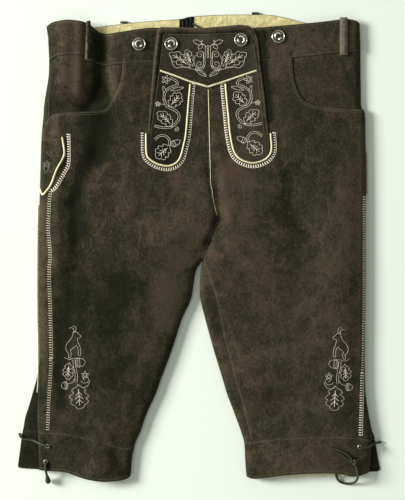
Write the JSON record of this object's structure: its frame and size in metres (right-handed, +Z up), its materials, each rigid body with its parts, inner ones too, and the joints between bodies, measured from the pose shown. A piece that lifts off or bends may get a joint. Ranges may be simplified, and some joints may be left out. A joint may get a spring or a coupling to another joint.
{
  "type": "knee breeches",
  "caption": "Brown suede knee breeches with an embroidered front flap, piped tongues, side pockets, laced cuffs and belt loops, laid flat front side up.",
  "frame": {"origin": "centre of the garment's outline at the level of the table it lies on, laces not counted", "axes": "+Y from the cuffs to the waist, +X to the right as seen from above, +Z up from the table through the front"},
  "size_m": [0.6194, 0.806, 0.024],
  "materials": {
    "suede": "dark brown suede, matt with a soft nap",
    "flap_suede": "dark brown suede of the flap, matt",
    "piping": "cream leather piping, satin",
    "lining": "cream cloth lining, matt",
    "gusset": "very dark gathered leather, matt",
    "lace": "dark green leather lace, satin",
    "button": "old silver rim round a dark horn centre",
    "eyelet": "dull metal eyelet"
  },
  "bodies": {
    "root": {"front_left": "suede", "front_right": "suede", "back_left": "suede", "back_right": "suede", "back_right_turn": "suede", "hip_left": "suede", "hip_right": "suede", "band_left": "suede", "band_right": "suede", "band_back_left": "suede", "band_back_right": "suede", "cuff_left": "suede", "cuff_right": "suede", "cuff_back_left": "suede", "cuff_back_right": "suede", "cuff_lining_right": "lining", "lining_left": "lining", "lining_right": "lining", "gusset_back": "gusset", "flap_border": "suede", "flap_bib": "flap_suede", "tongue_left": "flap_suede", "tongue_right": "flap_suede", "knife_pocket": "suede", "loop_front_left": "suede", "loop_front_right": "suede", "loop_back_left": "suede", "loop_back_right": "suede", "piping_bib": "piping", "piping_tongue_left": "piping", "piping_tongue_right": "piping", "piping_centre": "piping", "piping_knife_pocket": "piping", "piping_side_left": "piping", "piping_side_right": "piping", "button_1": "button", "button_2": "button", "button_3": "button", "button_4": "button", "eyelet_left_upper": "eyelet", "eyelet_left_lower": "eyelet", "eyelet_right_upper": "eyelet", "eyelet_right_lower": "eyelet", "lace_left_upper": "lace", "lace_left_lower": "lace", "lace_left_end": "lace", "lace_right_upper": "lace", "lace_right_end_upper": "lace", "lace_right_end_lower": "lace", "lace_right_loop": "lace", "lace_right_knot": "lace", "lace_back": "lace"}
  },
  "joints": []
}
